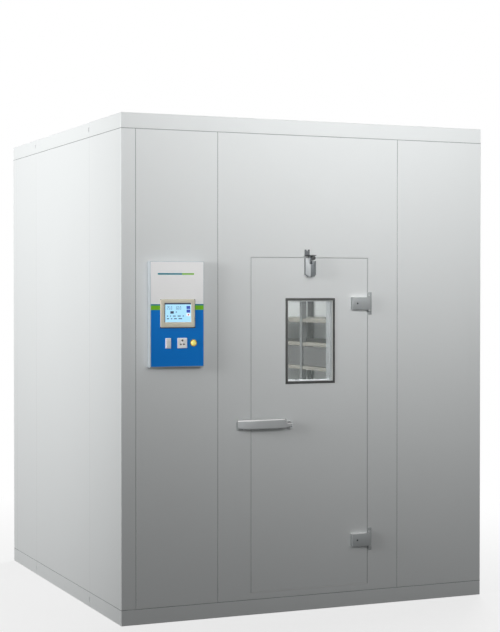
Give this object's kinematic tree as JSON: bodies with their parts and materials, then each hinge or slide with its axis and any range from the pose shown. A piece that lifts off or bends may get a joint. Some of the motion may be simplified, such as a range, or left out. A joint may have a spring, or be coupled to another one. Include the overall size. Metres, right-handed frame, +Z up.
{
  "type": "environmental test chamber",
  "caption": "Walk-in environmental test chamber: flush insulated panels, a windowed hinged door with pull handle and closer, a control box, and racks under a ceiling air unit.",
  "frame": {"origin": "centre of the floor panels' underside, on the ground", "axes": "+Z up; the door is in the face at -Y; seen from the front, +X is to the right, the hinge side"},
  "size_m": [2.4, 2.5207, 2.955],
  "materials": {
    "panel_steel": "pre-painted steel skin on a foam panel, satin",
    "deck": "rolled aluminium tread plate, matt",
    "sill_steel": "brushed stainless sheet, folded",
    "seal_rubber": "extruded silicone rubber, matt",
    "window_trim": "dark anodised aluminium, satin",
    "pane_glass": "toughened float glass, clear",
    "spacer": "mill-finish aluminium spacer bar",
    "hardware_zinc": "die-cast zinc, satin plated",
    "hardware_chrome": "die-cast zinc, chrome plated",
    "pin_steel": "turned stainless steel",
    "bush_acetal": "moulded acetal",
    "release_nylon": "moulded nylon, afterglow pigment",
    "roller_rubber": "moulded hard rubber",
    "box_enamel": "powder-coated steel, fine texture",
    "fascia_enamel": "printed polyester overlay on a powder-coated plate",
    "housing_abs": "moulded ABS, spark texture",
    "screen_glass": "lit touch screen",
    "switch_white": "moulded polycarbonate, gloss",
    "lamp_chrome": "spun and plated ring",
    "lens_yellow": "moulded translucent polycarbonate",
    "cooler_enamel": "powder-coated aluminium sheet",
    "fin_aluminium": "pressed aluminium fin stock",
    "blade_aluminium": "pressed aluminium, satin",
    "motor_black": "stove enamelled cast motor",
    "guard_wire": "dipped steel wire",
    "heater_steel": "heat-tinted stainless sheath",
    "copper": "drawn copper tube",
    "steam_steel": "drawn stainless tube",
    "drain_plastic": "extruded rigid plastic pipe",
    "flange_plastic": "moulded cover ring",
    "light_enamel": "powder-coated steel tray",
    "diffuser_opal": "extruded opal polycarbonate",
    "rack_enamel": "powder-coated folded steel",
    "shelf_enamel": "powder-coated folded sheet"
  },
  "bodies": {
    "chamber": {"floor_panels": "panel_steel", "ceiling_panels": "panel_steel", "front_left_panel": "panel_steel", "door_frame_panel": "panel_steel", "front_right_panel": "panel_steel", "left_panels": "panel_steel", "right_panels": "panel_steel", "back_panels": "panel_steel", "floor_deck": "deck", "door_sill": "sill_steel", "upper_hinge_bracket": "hardware_zinc", "lower_hinge_bracket": "hardware_zinc", "hinge_pins": "pin_steel", "latch_strike": "hardware_chrome", "closer_hook": "hardware_chrome", "control_box": "box_enamel", "control_fascia": "fascia_enamel", "hmi_housing": "housing_abs", "hmi_screen": "screen_glass", "switch_frame": "switch_white", "power_socket": "switch_white", "lamp_bezel": "lamp_chrome", "lamp_lens": "lens_yellow", "cooler_casing": "cooler_enamel", "cooler_coil": "fin_aluminium", "fan_motors": "motor_black", "fan_guards": "guard_wire", "drip_tray": "cooler_enamel", "heater_element": "heater_steel", "refrigerant_pipes": "copper", "steam_pipe": "steam_steel", "drain_pipe": "drain_plastic", "pipe_flanges": "flange_plastic", "light_base": "light_enamel", "light_diffuser": "diffuser_opal", "air_sensor": "pin_steel", "left_rack_posts": "rack_enamel", "left_rack_shelves": "shelf_enamel", "right_rack_posts": "rack_enamel", "right_rack_shelves": "shelf_enamel"},
    "door": {"door_leaf": "panel_steel", "door_gasket": "seal_rubber", "window_outer_trim": "window_trim", "window_inner_trim": "window_trim", "window_panes": "pane_glass", "window_spacer": "spacer", "upper_hinge_strap": "hardware_zinc", "lower_hinge_strap": "hardware_zinc", "hinge_bushes": "bush_acetal", "handle_base": "hardware_chrome", "handle_pivot_pin": "pin_steel", "release_escutcheon": "release_nylon", "closer_body": "hardware_chrome"},
    "handle": {"handle_lever": "hardware_chrome"},
    "release": {"release_rod": "release_nylon"},
    "closer_arm": {"closer_arm": "pin_steel"},
    "closer_roller": {"closer_roller": "roller_rubber"},
    "rocker": {"rocker_button": "switch_white"},
    "left_fan": {"left_fan": "blade_aluminium"},
    "right_fan": {"right_fan": "blade_aluminium"}
  },
  "joints": [
    {"name": "door_swing", "type": "hinge", "parent": "chamber", "child": "door", "pos_m": [0.399, -1.214, 1.131], "axis": [0, 0, 1], "range_deg": [0, 110]},
    {"name": "handle_pull", "type": "hinge", "parent": "door", "child": "handle", "pos_m": [-0.138, -1.222, 1.128], "axis": [0, 0, 1], "range_deg": [0, 18], "stiffness_Nm_per_rad": 1.5},
    {"name": "release_push", "type": "slide", "parent": "door", "child": "release", "axis": [0, -1, 0], "range_m": [0, 0.0154]},
    {"name": "closer_tilt", "type": "hinge", "parent": "door", "child": "closer_arm", "pos_m": [-0.0115, -1.224, 2.101], "axis": [1, 0, 0], "range_deg": [0, 35], "stiffness_Nm_per_rad": 0.5},
    {"name": "roller_spin", "type": "hinge", "parent": "closer_arm", "child": "closer_roller", "pos_m": [0.0093, -1.224, 2.13], "axis": [1, 0, 0], "continuous": true},
    {"name": "rocker_tip", "type": "hinge", "parent": "chamber", "child": "rocker", "pos_m": [-0.929, -1.248, 1.628], "axis": [1, 0, 0], "range_deg": [0, 10]},
    {"name": "left_fan_spin", "type": "hinge", "parent": "chamber", "child": "left_fan", "pos_m": [-0.31, -0.57, 2.67], "axis": [0, 1, 0], "continuous": true},
    {"name": "right_fan_spin", "type": "hinge", "parent": "chamber", "child": "right_fan", "pos_m": [0.31, -0.57, 2.67], "axis": [0, 1, 0], "continuous": true}
  ],
  "couplings": [
    {"joint": "release_push", "follows": "handle_pull", "m_per_rad": 0.049}
  ]
}
